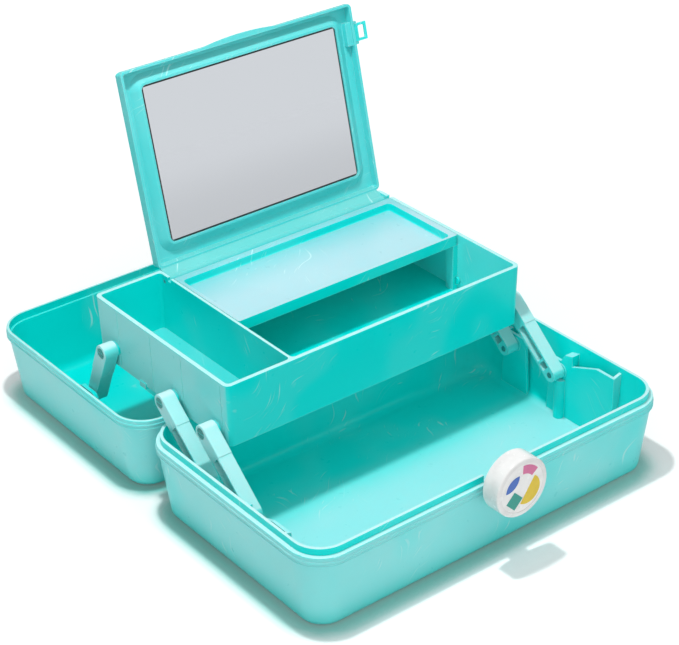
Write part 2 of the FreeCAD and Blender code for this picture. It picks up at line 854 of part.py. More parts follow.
def free_edge_waste(radius):
    """Material outside the rolled free edge of the cover, for its skin or its hollow."""
    y = tray_front_y + cover_edge_radius
    z = cover_top_z - cover_edge_radius
    reach = 2 * cover_edge_radius
    corner = block(cover_left_x - 1, cover_right_x + 1, y - reach, y, z, z + reach)
    return corner.cut(rod_x(cover_left_x - 2, cover_right_x + 2, y, z, radius))


def cover_frame():
    """Shallow frame that carries the mirror, with hinge rail, finger lip and clip ears."""
    x0, x1 = cover_left_x, cover_right_x
    y0, y1 = tray_front_y, cover_back_y
    floor_z = cover_top_z - cover_floor
    frame = rounded_block(x0, x1, y0, y1, cover_rim_z, cover_top_z, cover_corner)
    frame = frame.makeFillet(cover_edge_round, level_edges(frame, cover_top_z))
    frame = frame.cut(free_edge_waste(cover_edge_radius))
    w = cover_wall
    inside = rounded_block(x0 + w, x1 - w, y0 + w, y1 - w, cover_rim_z - 1, floor_z, cover_corner - w)
    frame = frame.cut(inside.cut(free_edge_waste(cover_edge_radius - w)))
    bezel_z = floor_z - pad_thickness - mirror_thickness - bezel_overhang
    crest = mirror_play + bezel_edge
    foot = mirror_wire(crest + bezel_slope, floor_z + 0.3)
    bezel = Part.makeLoft([foot, mirror_wire(crest, bezel_z)], True, True)
    bezel = bezel.cut(mirror_box(mirror_play, bezel_z - 1, floor_z))
    rail_x0 = divider_right + face_clearance
    rail_x1 = tray_half - tray_wall - tray_draft - face_clearance
    barrel = rod_x(rail_x0, rail_x1, cover_axis_y, cover_axis_z, cover_barrel_radius)
    t = rail_thickness
    rail = [
        (cover_axis_y - cover_barrel_radius, cover_axis_z),
        (cover_back_y, cover_rim_z),
        (cover_back_y - 1.5, cover_rim_z),
        (cover_back_y - 1.5, cover_rim_z + t),
        (cover_back_y + 0.6 * t, cover_rim_z + t),
        (cover_axis_y, cover_axis_z + cover_barrel_radius),
    ]
    bite = cover_wall / 2
    half = finger_lip_width / 2 * math.sqrt(1 + bite / finger_lip_reach)
    middle = (x0 + x1) / 2
    ends = [V(middle - half, y0 + bite, cover_rim_z), V(middle + half, y0 + bite, cover_rim_z)]
    arc = Part.Arc(ends[0], V(middle, y0 - finger_lip_reach, cover_rim_z), ends[1])
    lip = Part.Face(Part.Wire([arc.toShape(), Part.makeLine(ends[1], ends[0])]))
    lip = lip.extrude(V(0, 0, finger_lip_thickness))
    pieces = [frame, bezel, barrel, plate_x(rail, rail_x0, rail_x1), lip]
    ax, az = clip_axis()
    c0, c1 = clip_span()
    for y in (c0, c1 - clip_ear):
        pieces.append(rod_y(ax, y, y + clip_ear, az, clip_barrel_radius))
        pieces.append(block(x1 - 0.5, ax, y, y + clip_ear, az - clip_barrel_radius, az + clip_barrel_radius))
    boss_low = cover_rim_z + clip_boss_drop
    pieces.append(block(x1 - w - clip_boss_depth, x1 - w / 2, c0, c1, boss_low, floor_z + 0.5))
    frame = joined(pieces)
    bores = [rod_y(ax, c0, c1, az, clip_pin_radius)]
    bores += cover_pin_shapes(cover_pin_radius + pin_clearance)
    return swung(without(frame, bores))


def mirror_pad():
    """Adhesive pad behind the mirror."""
    floor_z = cover_top_z - cover_floor
    return swung(mirror_box(-pad_inset, floor_z - pad_thickness, floor_z))


def mirror_glass():
    """Flat mirror with round corners."""
    back = cover_top_z - cover_floor - pad_thickness
    return swung(mirror_box(0, back - mirror_thickness, back))


def clip_pin():
    """Pin of the cover clip."""
    ax, az = clip_axis()
    c0, c1 = clip_span()
    return swung(rod_y(ax, c0, c1, az, clip_pin_radius))


def cover_clip():
    """Loop that folds over the tray nub, standing out from the cover edge."""
    ax, az = clip_axis()
    c0, c1 = clip_span()
    y0 = c0 + clip_ear + face_clearance
    y1 = c1 - clip_ear - face_clearance
    barrel = rod_y(ax, y0, y1, az, clip_barrel_radius)
    half = clip_thickness / 2
    loop = rounded_block(ax + clip_pin_radius, ax + clip_reach, y0, y1, az - half, az + half, 0.3)
    x0 = ax + clip_barrel_radius + 0.8
    x1 = ax + clip_reach - clip_bar
    window = rounded_block(x0, x1, y0 + clip_bar, y1 - clip_bar, az - 2, az + 2, 0.8)
    clip = without(joined([barrel, loop]), [window, rod_y(ax, c0, c1, az, clip_pin_radius + pin_clearance)])
    return swung(clip)


def latch_pin_shape(radius):
    """Latch pin as a plain rod."""
    reach = latch_tab_half + face_clearance + latch_lug
    return rod_x(-reach, reach, -base_depth / 2 - latch_pivot_out, latch_pivot_z, radius)


def latch_cup():
    """Round cup on a hinge tab, hollow behind and recessed in front."""
    back = -base_depth / 2 - latch_standoff
    front = back - latch_depth
    cup = rod_y(0, front, back, latch_centre_z, latch_radius)
    rim = [e for e in cup.Edges if all(abs(v.Y - front) < 1e-4 for v in e.Vertexes)]
    cup = cup.makeFillet(latch_edge_radius, rim)
    recess = rod_y(0, front - 1, front + latch_disc_recess, latch_centre_z, latch_disc_radius)
    plate = front + latch_disc_recess + latch_face
    hollow = rod_y(0, plate, back + 1, latch_centre_z, latch_radius - latch_wall)
    pivot_y = -base_depth / 2 - latch_pivot_out
    low = latch_centre_z - latch_radius + latch_wall / 2
    t = latch_tab_half
    tab = block(-t, t, plate - 0.5, pivot_y, low + 1, latch_pivot_z + latch_barrel_radius)
    barrel = rod_x(-t, t, pivot_y, latch_pivot_z, latch_barrel_radius)
    cup = joined([cup.cut(recess).cut(hollow), tab, barrel])
    return cup.cut(latch_pin_shape(latch_pin_radius + pin_clearance))


def latch_disc():
    """Disc set into the face of the latch."""
    seat = -base_depth / 2 - latch_standoff - latch_depth + latch_disc_recess
    return rod_y(0, seat - latch_disc_thickness, seat, latch_centre_z, latch_disc_radius)


def write_parts():
    """Write one file for each piece."""
    front_places = [side_arm(front_pivot_y, outside) for outside in (False, True)]
    rear_places = [side_arm(rear_pivot_y, outside) for outside in (False, True)]
    right_link = lid_link()
    right_foot_pin = link_foot_pin()
    pieces = {
        "base_shell": base_shell(),
        "base_arm_pins": base_arm_pins(),
        "case_hinge_pins": case_hinge_pins(),
        "latch_pin": latch_pin_shape(latch_pin_radius),
        "lid_shell": lid_shell(),
        "handle_pins": Part.makeCompound(handle_pin_shapes()),
        "carry_handle": carry_handle(),
        "front_arm_right": front_places[0],
        "front_arm_left": mirrored(front_places[1]),
        "rear_arm_right": rear_places[0],
        "rear_arm_left": mirrored(rear_places[1]),
        "lid_link_right": right_link,
        "lid_link_left": mirrored(right_link),
        "link_foot_pin_right": right_foot_pin,
        "link_foot_pin_left": mirrored(right_foot_pin),
        "tray_shell": tray_shell(),
        "tray_snap_pins": tray_snap_pins(),
        "palette_tray": palette_tray(),
        "cover_hinge_pins": cover_hinge_pins(),
        "cover_frame": cover_frame(),
        "mirror_pad": mirror_pad(),
        "mirror_glass": mirror_glass(),
        "clip_pin": clip_pin(),
        "cover_clip": cover_clip(),
        "latch_cup": latch_cup(),
        "latch_disc": latch_disc(),
    }
    os.makedirs("parts", exist_ok=True)
    for name, shape in pieces.items():
        shape.exportStep("parts/" + name + ".step")


write_parts()
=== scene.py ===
"""Looks of the open make-up case: marbled plastic, mirror, white latch and a pale studio."""
import json
import math

import bmesh
import bpy
from mathutils import Matrix, Vector


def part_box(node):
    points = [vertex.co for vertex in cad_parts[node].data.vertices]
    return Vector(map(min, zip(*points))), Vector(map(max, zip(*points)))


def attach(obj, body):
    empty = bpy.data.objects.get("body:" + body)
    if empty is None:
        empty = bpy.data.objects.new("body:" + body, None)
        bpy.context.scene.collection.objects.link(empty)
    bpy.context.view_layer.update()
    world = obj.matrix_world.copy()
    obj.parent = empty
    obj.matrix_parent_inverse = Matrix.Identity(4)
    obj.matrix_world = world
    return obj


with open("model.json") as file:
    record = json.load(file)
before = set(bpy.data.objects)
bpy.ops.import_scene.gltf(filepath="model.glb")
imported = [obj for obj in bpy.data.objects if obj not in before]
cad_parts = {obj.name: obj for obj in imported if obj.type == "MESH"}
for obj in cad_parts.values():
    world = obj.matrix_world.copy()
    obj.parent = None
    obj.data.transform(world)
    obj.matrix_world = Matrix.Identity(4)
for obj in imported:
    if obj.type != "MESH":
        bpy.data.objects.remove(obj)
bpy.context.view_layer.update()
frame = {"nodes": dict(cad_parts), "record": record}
scene = bpy.context.scene
nodes = frame["nodes"]

# Camera: place in metres, angles in degrees, the lens for a 36 mm wide sensor, and the nearest that it sees
CAMERA_PLACE = (-0.77493, -0.93600, 0.84854)
CAMERA_AZIMUTH = -37.34
CAMERA_ELEVATION = 30.13
CAMERA_ROLL = -1.36
CAMERA_LENS = 104.55
SENSOR_WIDTH = 36.0
NEAREST_SEEN = 0.05

# Colours as written on screen, 0 to 255
TURQUOISE = (0, 234, 229)
# Painted light: pale copy for the case's upward faces, as they look under the lamp
PALE_TURQUOISE = (160, 238, 241)
# Painted shade: deep copy for the case floor at the back, under the tray
DEEP_TURQUOISE = (20, 236, 231)
# Painted light: lit copies for the floor of the tray's left bin and for its inner end walls
BIN_TURQUOISE = (78, 212, 211)
END_TURQUOISE = (100, 242, 242)
# Painted sheen: pale copy for outside walls and undersides, as if they reflected the white surroundings
SHEEN_PAINTED_TURQUOISE = (140, 233, 233)
COVER_TURQUOISE = (92, 220, 221)
# Painted light: copy for the cover's level faces
COVER_PALE = (106, 206, 204)
# Painted light on the palette in front, painted shade towards the mirror
PALETTE_TURQUOISE = (176, 218, 226)
PALETTE_DEEP = (130, 206, 212)
# Arms: lit and shaded copies of one plastic, deep walls, paler outside (painted sheen), palest upward
# (painted light)
ARM_DEEP = (110, 230, 228)
ARM_TURQUOISE = (162, 234, 235)
ARM_PALE = (200, 242, 243)
# Painted shade: dark copy for the outer pin heads, for the shade of their recesses
PIN_TURQUOISE = (0, 138, 133)
# Painted highlight on edges and rim tops
EDGE = (205, 248, 248)
WISP = (222, 247, 247)
WHITE_PLASTIC = (243, 243, 242)
DISC_WHITE = (252, 252, 251)
SILVER = (208, 212, 217)
BLACK_EDGE = (20, 24, 26)
STEEL = (176, 178, 182)
FOAM = (232, 232, 226)
PRINT_BLUE = (66, 112, 200)
PRINT_YELLOW = (238, 206, 50)
PRINT_PINK = (226, 120, 168)
PRINT_TEAL = (36, 164, 150)
FLOOR = (250, 250, 250)
# Painted contact shadow: dark teal on the floor at the foot of the case
CONTACT = (0, 178, 168)

# Light of the surroundings overhead, at the horizon and from the front, and how fast it falls from the zenith
ZENITH_LIGHT = 0.63
HORIZON_LIGHT = 0.05
FRONT_LIGHT = 0.78
FRONT_SIDE = (-0.35, -0.92, 0.16)
ZENITH_FALL = 3.0

# Lamp: the level that it gives a white floor straight below it, and its place and size in metres
LAMP_LIGHT = 0.55
LAMP_PLACE = (-0.15, 0.035, 1.05)
LAMP_SIZE = 0.06

# Floor, just below the case so that the two don't share a plane
FLOOR_SIZE = 8.0
FLOOR_PLACE = (0, 0.1, -0.0002)
FLOOR_ROUGHNESS = 0.9
FLOOR_SPECULAR = 0.1

# Painted contact shadow, a dark teal tint on the floor where the case meets it: how far it reaches and the
# open shares at which it is full and gone
CONTACT_REACH = 0.02
CONTACT_RANGE = (0.66, 0.99)
CONTACT_SAMPLES = 8

# Glow that keeps the floor white away from the lamp, per metre and at most
FLOOR_GLOW = 0.62
MOST_GLOW = 0.9

# What the mirror and other gloss see of the floor near by and far off, as a share of white, and where
# that is; and how fast it rises from nothing under the case, per metre
SHINE_NEAR = 0.3
SHINE_FAR = 0.5
SHINE_DISTANCES = (1.0, 4.0)
SHINE_RISE = 0.9

# Fine wear: grains in a metre, the least and most of a roughness, and the strength of the grain
GRAINS_PER_METRE = 160.0
ROUGHNESS_SHARES = (0.75, 1.3)
GRAIN_STRENGTH = 0.05

# Mottling of plain colours: spots in a metre, their range in the noise and how dark they are
MOTTLES_PER_METRE = 70.0
MOTTLE_RANGE = (0.4, 0.7)
MOTTLE_SHADE = 0.955

# Marbling: bends in a metre and how far they push it, then patches in a metre and their range in the noise
BENDS_PER_METRE = 28.0
BEND_REACH = 0.04
PATCHES_PER_METRE = 16.0
PATCH_RANGE = (0.45, 0.62)

# Strokes of the marbling: slope in degrees, width in metres, length in widths and range in the noise; then
# how much they waver, and how strong the strokes and the haze round them are
VEIN = {"slope": 52, "width": 0.0018, "stretch": 8.0, "span": (0.66, 0.8)}
THREAD = {"slope": 35, "width": 0.0008, "stretch": 14.0, "span": (0.65, 0.8)}
STROKE_WAVE = 0.4
VEIN_STRENGTH = 0.62
THREAD_STRENGTH = 0.5
HAZE_STRENGTH = 0.05

# Broad clouds on outside walls: how many in a metre, their range in the noise and how deep they are
CLOUDS_PER_METRE = 9.0
CLOUD_RANGE = (0.5, 0.72)
CLOUD_DEPTH = 0.3

# Upward part of a normal from which the marbling lies level, and the ranges over which a face comes to count
# as a floor (painted light), as an underside (by its downward part; painted sheen) and as a rim top (painted
# highlight)
LEVEL_FROM = 0.7
UPWARD_RANGE = (0.45, 0.97)
UNDERSIDE_RANGE = (0.3, 0.97)
RIM_HIGHLIGHT_RANGE = (0.5, 0.9)

# Painted highlight along edges: radius in metres, range of the change in the normal, and how strong it is
EDGE_RADIUS = 0.0007
EDGE_RANGE = (0.03, 0.22)
EDGE_STRENGTH = 0.55
EDGE_SAMPLES = 4

# Rims, in metres: the height of the case's rim, a height that no piece reaches, the tray's rim below its
# highest point, how far below its top the painted sheen fades and the painted highlight reaches, and how
# strong that highlight is
RIM_HEIGHT = 0.0638
NO_RIM = 1.0
TRAY_RIM_DEPTH = 0.0003
RIM_FADE = 0.0006
RIM_HIGHLIGHT_FADE = 0.001
RIM_HIGHLIGHT_STRENGTH = 0.7

# Heights over which the painted sheen on outside walls comes in from the foot, so that walls stay deeper near
# the bottom as painted shade
FOOT_RANGE = (-0.02, 0.022)

# Height limits of the floors that turn colour: the case's own, the tray's above its lowest point and the
# palette's above its highest; and the fade below a limit
CASE_FLOOR_LIMIT = 0.03
TRAY_FLOOR_LIMIT = 0.03
PAN_FLOOR_LIMIT = 0.02
FLOOR_FADE = 0.015

# Where floors turn from painted light to painted shade: the case towards its back under the tray, the tray
# across its divider into the main well, and the palette from a share of its depth towards the mirror
CASE_TURN = (0.0, 0.05)
DIVIDER_WIDTH = 0.003
PAN_TURN_SHARE = 0.4

# Distances from the middle over which a wall that faces outward comes to count as an outside wall
OUTSIDE_RANGE = (0.02, 0.07)
TRAY_OUTSIDE_RANGE = (0.1, 0.13)
PIN_OUTSIDE_RANGE = (0.12, 0.13)

# Moulded plastic: sockets of its shader, roughness and grain height in metres
PLASTIC = {
    "Subsurface Weight": 0.35,
    "Subsurface Radius": (0.1, 1.0, 0.95),
    "Subsurface Scale": 0.003,
    "Specular IOR Level": 0.18,
    "Coat Weight": 0.1,
    "Coat Roughness": 0.22,
    "Coat IOR": 1.45,
}
PLASTIC_ROUGHNESS = 0.3
PLASTIC_GRAIN = 0.0003

# Mirror: its dark border in metres, the share of it that is fully dark, its face's range and its roughness
MIRROR_BORDER = 0.001
MIRROR_DARK_SHARE = 0.6
MIRROR_FACE_RANGE = (0.6, 0.95)
MIRROR_ROUGHNESS = 0.04

# Middle of the latch disc's recessed face in the frame and thickness of the ink on it, in metres
DISC_CENTRE = (0.0, -0.1233, 0.0657)
PRINT_THICKNESS = 0.0002
PRINT_ROUGHNESS = 0.35

# Printed shapes, in millimetres about the disc's middle and in degrees
HALF_ROUND_CENTRE = (5.0, -3.5)
HALF_ROUND_RADIUS = 11.4
HALF_ROUND_ANGLES = (-125, 55)
LOZENGE_CENTRE = (-7.0, -8.5)
LOZENGE_HALF = 7.5
BAND_RADII = (11.0, 17.8)
BAND_ANGLES = (38, 88)
LEAF_CENTRE = (-8.8, 5.6)
LEAF_HALF = 8.0
LEAF_RISE = 3.6
LEAF_SLOPE = 40


def linear(colour):
    """Screen colour as the linear values that a shader takes."""
    channels = []
    for value in colour:
        v = value / 255
        channels.append(v / 12.92 if v <= 0.04045 else ((v + 0.055) / 1.055) ** 2.4)
    return (*channels, 1.0)


def new_material(name):
    """Empty node material with its shader and output joined."""
    material = bpy.data.materials.new(name)
    material.use_nodes = True
    tree = material.node_tree
    tree.nodes.clear()
    shader = tree.nodes.new("ShaderNodeBsdfPrincipled")
    output = tree.nodes.new("ShaderNodeOutputMaterial")
    tree.links.new(shader.outputs["BSDF"], output.inputs["Surface"])
    return material, tree, shader


def math_node(tree, operation, first, second=None, clamp=False):
    """Math node on two links or numbers; gives its output."""
    node = tree.nodes.new("ShaderNodeMath")
    node.operation = operation
    node.use_clamp = clamp
    for socket, value in zip(node.inputs, (first, second)):
        if isinstance(value, (int, float)):
            socket.default_value = value
        elif value is not None:
            tree.links.new(value, socket)
    return node.outputs["Value"]


def times(tree, first, second):
    """Product of two links or numbers."""
    return math_node(tree, "MULTIPLY", first, second)


def inverse(tree, share):
    """1 where a share is 0, and 0 where it is 1."""
    return math_node(tree, "SUBTRACT", 1.0, share)


def fade(tree, value, low, high):
    """Smooth step from 0 at low to 1 at high."""
    node = tree.nodes.new("ShaderNodeMapRange")
    node.interpolation_type = "SMOOTHSTEP"
    node.inputs["From Min"].default_value = low
    node.inputs["From Max"].default_value = high
    tree.links.new(value, node.inputs["Value"])
    return node.outputs["Result"]


def split(tree, vector):
    """The X, Y and Z of a vector, by name."""
    node = tree.nodes.new("ShaderNodeSeparateXYZ")
    tree.links.new(vector, node.inputs["Vector"])
    return node.outputs


def shifted(tree, place, offset, scale=(1, 1, 1)):
    """A place after a scale and an offset."""
    node = tree.nodes.new("ShaderNodeMapping")
    node.inputs["Location"].default_value = offset
    node.inputs["Scale"].default_value = scale
    tree.links.new(place, node.inputs["Vector"])
    return node.outputs["Vector"]


def dot(tree, first, second):
    """Dot product of a link with a link or a fixed vector."""
    node = tree.nodes.new("ShaderNodeVectorMath")
    node.operation = "DOT_PRODUCT"
    tree.links.new(first, node.inputs[0])
    if isinstance(second, (tuple, Vector)):
        node.inputs[1].default_value = second
    else:
        tree.links.new(second, node.inputs[1])
    return node.outputs["Value"]


def mix_colour(tree, factor, first, second):
    """Mix of two colours, each a link or a screen colour."""
    node = tree.nodes.new("ShaderNodeMix")
    node.data_type = "RGBA"
    tree.links.new(factor, node.inputs["Factor"])
    for socket, value in ((node.inputs[6], first), (node.inputs[7], second)):
        if isinstance(value, tuple):
            socket.default_value = linear(value)
        else:
            tree.links.new(value, socket)
    return node.outputs[2]


def noise(tree, place, scale, detail=3.0, distortion=0.0, output="Fac"):
    """Noise at a scale per metre."""
    node = tree.nodes.new("ShaderNodeTexNoise")
    node.inputs["Scale"].default_value = scale
    node.inputs["Detail"].default_value = detail
    node.inputs["Distortion"].default_value = distortion
    tree.links.new(place, node.inputs["Vector"])
    return node.outputs[output]


def worn_gloss(tree, place, shader, roughness, grain_height):
    """Fine wear in the gloss and moulding grain of a height in metres."""
    grain = noise(tree, place, GRAINS_PER_METRE)
    least, most = ROUGHNESS_SHARES
    spread = tree.nodes.new("ShaderNodeMapRange")
    spread.inputs["To Min"].default_value = roughness * least
    spread.inputs["To Max"].default_value = roughness * most
    tree.links.new(grain, spread.inputs["Value"])
    tree.links.new(spread.outputs["Result"], shader.inputs["Roughness"])
    bump = tree.nodes.new("ShaderNodeBump")
    bump.inputs["Strength"].default_value = GRAIN_STRENGTH
    bump.inputs["Distance"].default_value = grain_height
    tree.links.new(grain, bump.inputs["Height"])
    tree.links.new(bump.outputs["Normal"], shader.inputs["Normal"])


def plain_material(name, colour, roughness, metallic=0.0, coat=0.0, grain_height=0.0002):
    """One colour, faintly mottled, with fine wear in its gloss."""
    material, tree, shader = new_material(name)
    place = tree.nodes.new("ShaderNodeTexCoord").outputs["Object"]
    handled = tuple(round(MOTTLE_SHADE * value) for value in colour)
    mottle = fade(tree, noise(tree, place, MOTTLES_PER_METRE), *MOTTLE_RANGE)
    tree.links.new(mix_colour(tree, mottle, colour, handled), shader.inputs["Base Color"])
    shader.inputs["Metallic"].default_value = metallic
    shader.inputs["Coat Weight"].default_value = coat
    worn_gloss(tree, place, shader, roughness, grain_height)
    return material


def pick(tree, choice, first, second):
    """The first value where the choice is 0 and the second where it is 1."""
    node = tree.nodes.new("ShaderNodeMix")
    node.data_type = "FLOAT"
    for socket, value in zip((node.inputs[0], node.inputs[2], node.inputs[3]), (choice, first, second)):
        tree.links.new(value, socket)
    return node.outputs[0]


def flat_place(tree, place, normal):
    """Place of a point along the face that it lies on, as two lengths."""
    at = split(tree, place)
    facing = split(tree, normal)
    x, y, z = (math_node(tree, "ABSOLUTE", facing[axis]) for axis in "XYZ")
    level = math_node(tree, "GREATER_THAN", z, LEVEL_FROM)
    sideways = math_node(tree, "GREATER_THAN", x, y)
    along = pick(tree, level, pick(tree, sideways, at["X"], at["Y"]), at["X"])
    across = pick(tree, level, at["Z"], at["Y"])
    flat = tree.nodes.new("ShaderNodeCombineXYZ")
    tree.links.new(along, flat.inputs["X"])
    tree.links.new(across, flat.inputs["Y"])
    return flat.outputs["Vector"]


def bent(tree, flat):
    """The same place pushed about, so that strokes along it curve."""
    push = noise(tree, flat, BENDS_PER_METRE, detail=0.0, output="Color")
    pushed = tree.nodes.new("ShaderNodeVectorMath")
    pushed.operation = "MULTIPLY_ADD"
    pushed.inputs[1].default_value = (BEND_REACH, BEND_REACH, 0)
    tree.links.new(push, pushed.inputs[0])
    tree.links.new(flat, pushed.inputs[2])
    return pushed.outputs["Vector"]


def strokes(tree, flat, slope, width, stretch, span):
    """Lone slanting strokes, 0 to 1; the noise has two stroke widths to a cell."""
    slant = tree.nodes.new("ShaderNodeMapping")
    slant.vector_type = "TEXTURE"
    slant.inputs["Rotation"].default_value = (0, 0, math.radians(slope))
    slant.inputs["Scale"].default_value = (stretch, 1, 1)
    tree.links.new(flat, slant.inputs["Vector"])
    field = noise(tree, slant.outputs["Vector"], 0.5 / width, detail=1.0, distortion=STROKE_WAVE)
    return fade(tree, field, *span)


def wisps(tree, place, normal):
    """Sparse pale veins and threads in loose patches with a faint haze, 0 to 1."""
    flat = bent(tree, flat_place(tree, place, normal))
    patch = fade(tree, noise(tree, place, PATCHES_PER_METRE, detail=1.0), *PATCH_RANGE)
    veins = times(tree, strokes(tree, flat, **VEIN), VEIN_STRENGTH)
    threads = times(tree, strokes(tree, flat, **THREAD), THREAD_STRENGTH)
    lines = times(tree, math_node(tree, "MAXIMUM", veins, threads), patch)
    return math_node(tree, "MAXIMUM", lines, times(tree, patch, HAZE_STRENGTH))


def edges(tree):
    """1 along the outer edges of a moulding, where a highlight is painted, 0 on its faces."""
    rounded = tree.nodes.new("ShaderNodeBevel")
    rounded.samples = EDGE_SAMPLES
    rounded.inputs["Radius"].default_value = EDGE_RADIUS
    plain = tree.nodes.new("ShaderNodeNewGeometry")
    along = dot(tree, rounded.outputs["Normal"], plain.outputs["Normal"])
    return fade(tree, inverse(tree, along), *EDGE_RANGE)


def turned_floor(tree, at, colour, axis, span, limit, turned):
    """Colour of a floor that turns to another over a span of an axis, below a height limit."""
    low = inverse(tree, fade(tree, at["Z"], limit - FLOOR_FADE, limit))
    return mix_colour(tree, times(tree, fade(tree, at[axis], *span), low), colour, turned)


def marbled_plastic(
        name, wall, outside, upward, offset=(0, 0, 0), centre_y=0.0, across=(1, 1, 0),
        outside_range=OUTSIDE_RANGE, rim=NO_RIM, turn=None, below=None, inner_end=None):
    """Glossy moulded plastic in lit and shaded copies: deep inside walls, outside walls paled by painted
    sheen, upward faces paled by painted light, painted highlights on edges, and marbling wisps.

    The top of a rim has a painted highlight. A floor may turn along an axis from a paler colour, painted
    light, to a deeper one, painted shade; the underside may take the painted sheen and the inner end walls a
    paler copy, painted light. The offset moves the marbling, so that no two materials share it.
    """
    material, tree, shader = new_material(name)
    coordinates = tree.nodes.new("ShaderNodeTexCoord")
    normal = coordinates.outputs["Normal"]
    at = split(tree, coordinates.outputs["Object"])
    up = split(tree, normal)["Z"]
    from_centre = shifted(tree, coordinates.outputs["Object"], (0, -centre_y, 0), across)
    outward = dot(tree, from_centre, normal)
    place = shifted(tree, coordinates.outputs["Object"], offset)

    # Painted sheen on outside walls, between the foot and the rim; near the foot they stay deeper, a painted
    # shade
    below_rim = inverse(tree, fade(tree, at["Z"], rim - RIM_FADE, rim))
    above_foot = times(tree, below_rim, fade(tree, at["Z"], *FOOT_RANGE))
    outer = times(tree, fade(tree, outward, *outside_range), above_foot)
    pairs = zip(outside, TURQUOISE)
    clouded = tuple(round((1 - CLOUD_DEPTH) * pale + CLOUD_DEPTH * deep) for pale, deep in pairs)
    clouds = fade(tree, noise(tree, place, CLOUDS_PER_METRE, detail=2.0), *CLOUD_RANGE)
    # Painted light: the inner end walls take a paler copy
    if inner_end:
        wall = mix_colour(tree, fade(tree, times(tree, outward, -1.0), *outside_range), wall, inner_end)
    walls = mix_colour(tree, outer, wall, mix_colour(tree, clouds, outside, clouded))
    # Painted shade: a floor may turn to a deeper colour where it lies in shade
    if turn:
        upward = turned_floor(tree, at, upward, **turn)
    # Painted light: upward faces take a paler, lit copy of the colour
    faces = mix_colour(tree, fade(tree, up, *UPWARD_RANGE), walls, upward)
    # Painted sheen: undersides may take the pale copy too
    if below:
        faces = mix_colour(tree, fade(tree, times(tree, up, -1.0), *UNDERSIDE_RANGE), faces, below)
    # Painted highlight on the top of a rim
    rim_highlight = times(tree, fade(tree, at["Z"], rim - RIM_HIGHLIGHT_FADE, rim), fade(tree, up, *RIM_HIGHLIGHT_RANGE))
    faces = mix_colour(tree, times(tree, rim_highlight, RIM_HIGHLIGHT_STRENGTH), faces, EDGE)
    marbled = mix_colour(tree, wisps(tree, place, normal), faces, WISP)
    # Painted highlight along edges
    painted = mix_colour(tree, times(tree, edges(tree), EDGE_STRENGTH), marbled, EDGE)
    tree.links.new(painted, shader.inputs["Base Color"])
    for socket, value in PLASTIC.items():
        shader.inputs[socket].default_value = value
    worn_gloss(tree, place, shader, PLASTIC_ROUGHNESS, PLASTIC_GRAIN)
    return material


def mirror_material():
    """Silvered glass with a dark ground edge."""
    material, tree, shader = new_material("silvered_mirror")
    glass = nodes["mirror_glass"].data
    face = max(glass.polygons, key=lambda polygon: polygon.area).normal
    low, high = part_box("mirror_glass")
    middle = (Vector(low) + Vector(high)) / 2
    sideways = Vector((1, 0, 0))
    upward = sideways.cross(face)
    half_width = (high[0] - low[0]) / 2
    half_height = max(abs((vertex.co - middle).dot(upward)) for vertex in glass.vertices)
    coordinates = tree.nodes.new("ShaderNodeTexCoord")
    from_middle = tree.nodes.new("ShaderNodeVectorMath")
    from_middle.operation = "SUBTRACT"
    from_middle.inputs[1].default_value = middle
    tree.links.new(coordinates.outputs["Object"], from_middle.inputs[0])
    along = math_node(tree, "ABSOLUTE", dot(tree, coordinates.outputs["Normal"], face))
    inside = fade(tree, along, *MIRROR_FACE_RANGE)
    for axis, half in ((sideways, half_width), (upward, half_height)):
        reach = math_node(tree, "ABSOLUTE", dot(tree, from_middle.outputs["Vector"], axis))
        border = fade(tree, reach, half - MIRROR_BORDER, half - MIRROR_BORDER * MIRROR_DARK_SHARE)
        inside = math_node(tree, "MINIMUM", inside, inverse(tree, border))
    tree.links.new(mix_colour(tree, inside, BLACK_EDGE, SILVER), shader.inputs["Base Color"])
    tree.links.new(inside, shader.inputs["Metallic"])
    shader.inputs["Roughness"].default_value = MIRROR_ROUGHNESS
    return material


def case_plastic():
    """Marbled plastic of the base: painted light on the floor in front and painted shade at the back, under
    the tray.
    """
    turn = {"axis": "Y", "span": CASE_TURN, "limit": CASE_FLOOR_LIMIT, "turned": DEEP_TURQUOISE}
    return marbled_plastic(
        "marbled_case", TURQUOISE, SHEEN_PAINTED_TURQUOISE, PALE_TURQUOISE, rim=RIM_HEIGHT, turn=turn,
        below=SHEEN_PAINTED_TURQUOISE)


def lid_plastic():
    """Marbled plastic of the lid, about its own middle."""
    low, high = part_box("lid_shell")
    return marbled_plastic(
        "marbled_lid", TURQUOISE, SHEEN_PAINTED_TURQUOISE, TURQUOISE, offset=(5.3, 1.9, 0.7),
        centre_y=(low[1] + high[1]) / 2, rim=RIM_HEIGHT, below=SHEEN_PAINTED_TURQUOISE)


def tray_plastic():
    """Marbled plastic of the tray: painted light on the floor of the left bin and on the inner ends, painted
    shade on the floor of the main well.
    """
    low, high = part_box("tray_shell")
    pan_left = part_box("palette_tray")[0][0]
    turn = {
        "axis": "X",
        "span": (pan_left - DIVIDER_WIDTH, pan_left),
        "limit": low[2] + TRAY_FLOOR_LIMIT,
        "turned": TURQUOISE,
    }
    return marbled_plastic(
        "marbled_tray", TURQUOISE, SHEEN_PAINTED_TURQUOISE, BIN_TURQUOISE, offset=(1.7, 2.3, 0.6), across=(1, 0, 0),
        outside_range=TRAY_OUTSIDE_RANGE, rim=high[2] - TRAY_RIM_DEPTH, turn=turn, inner_end=END_TURQUOISE)


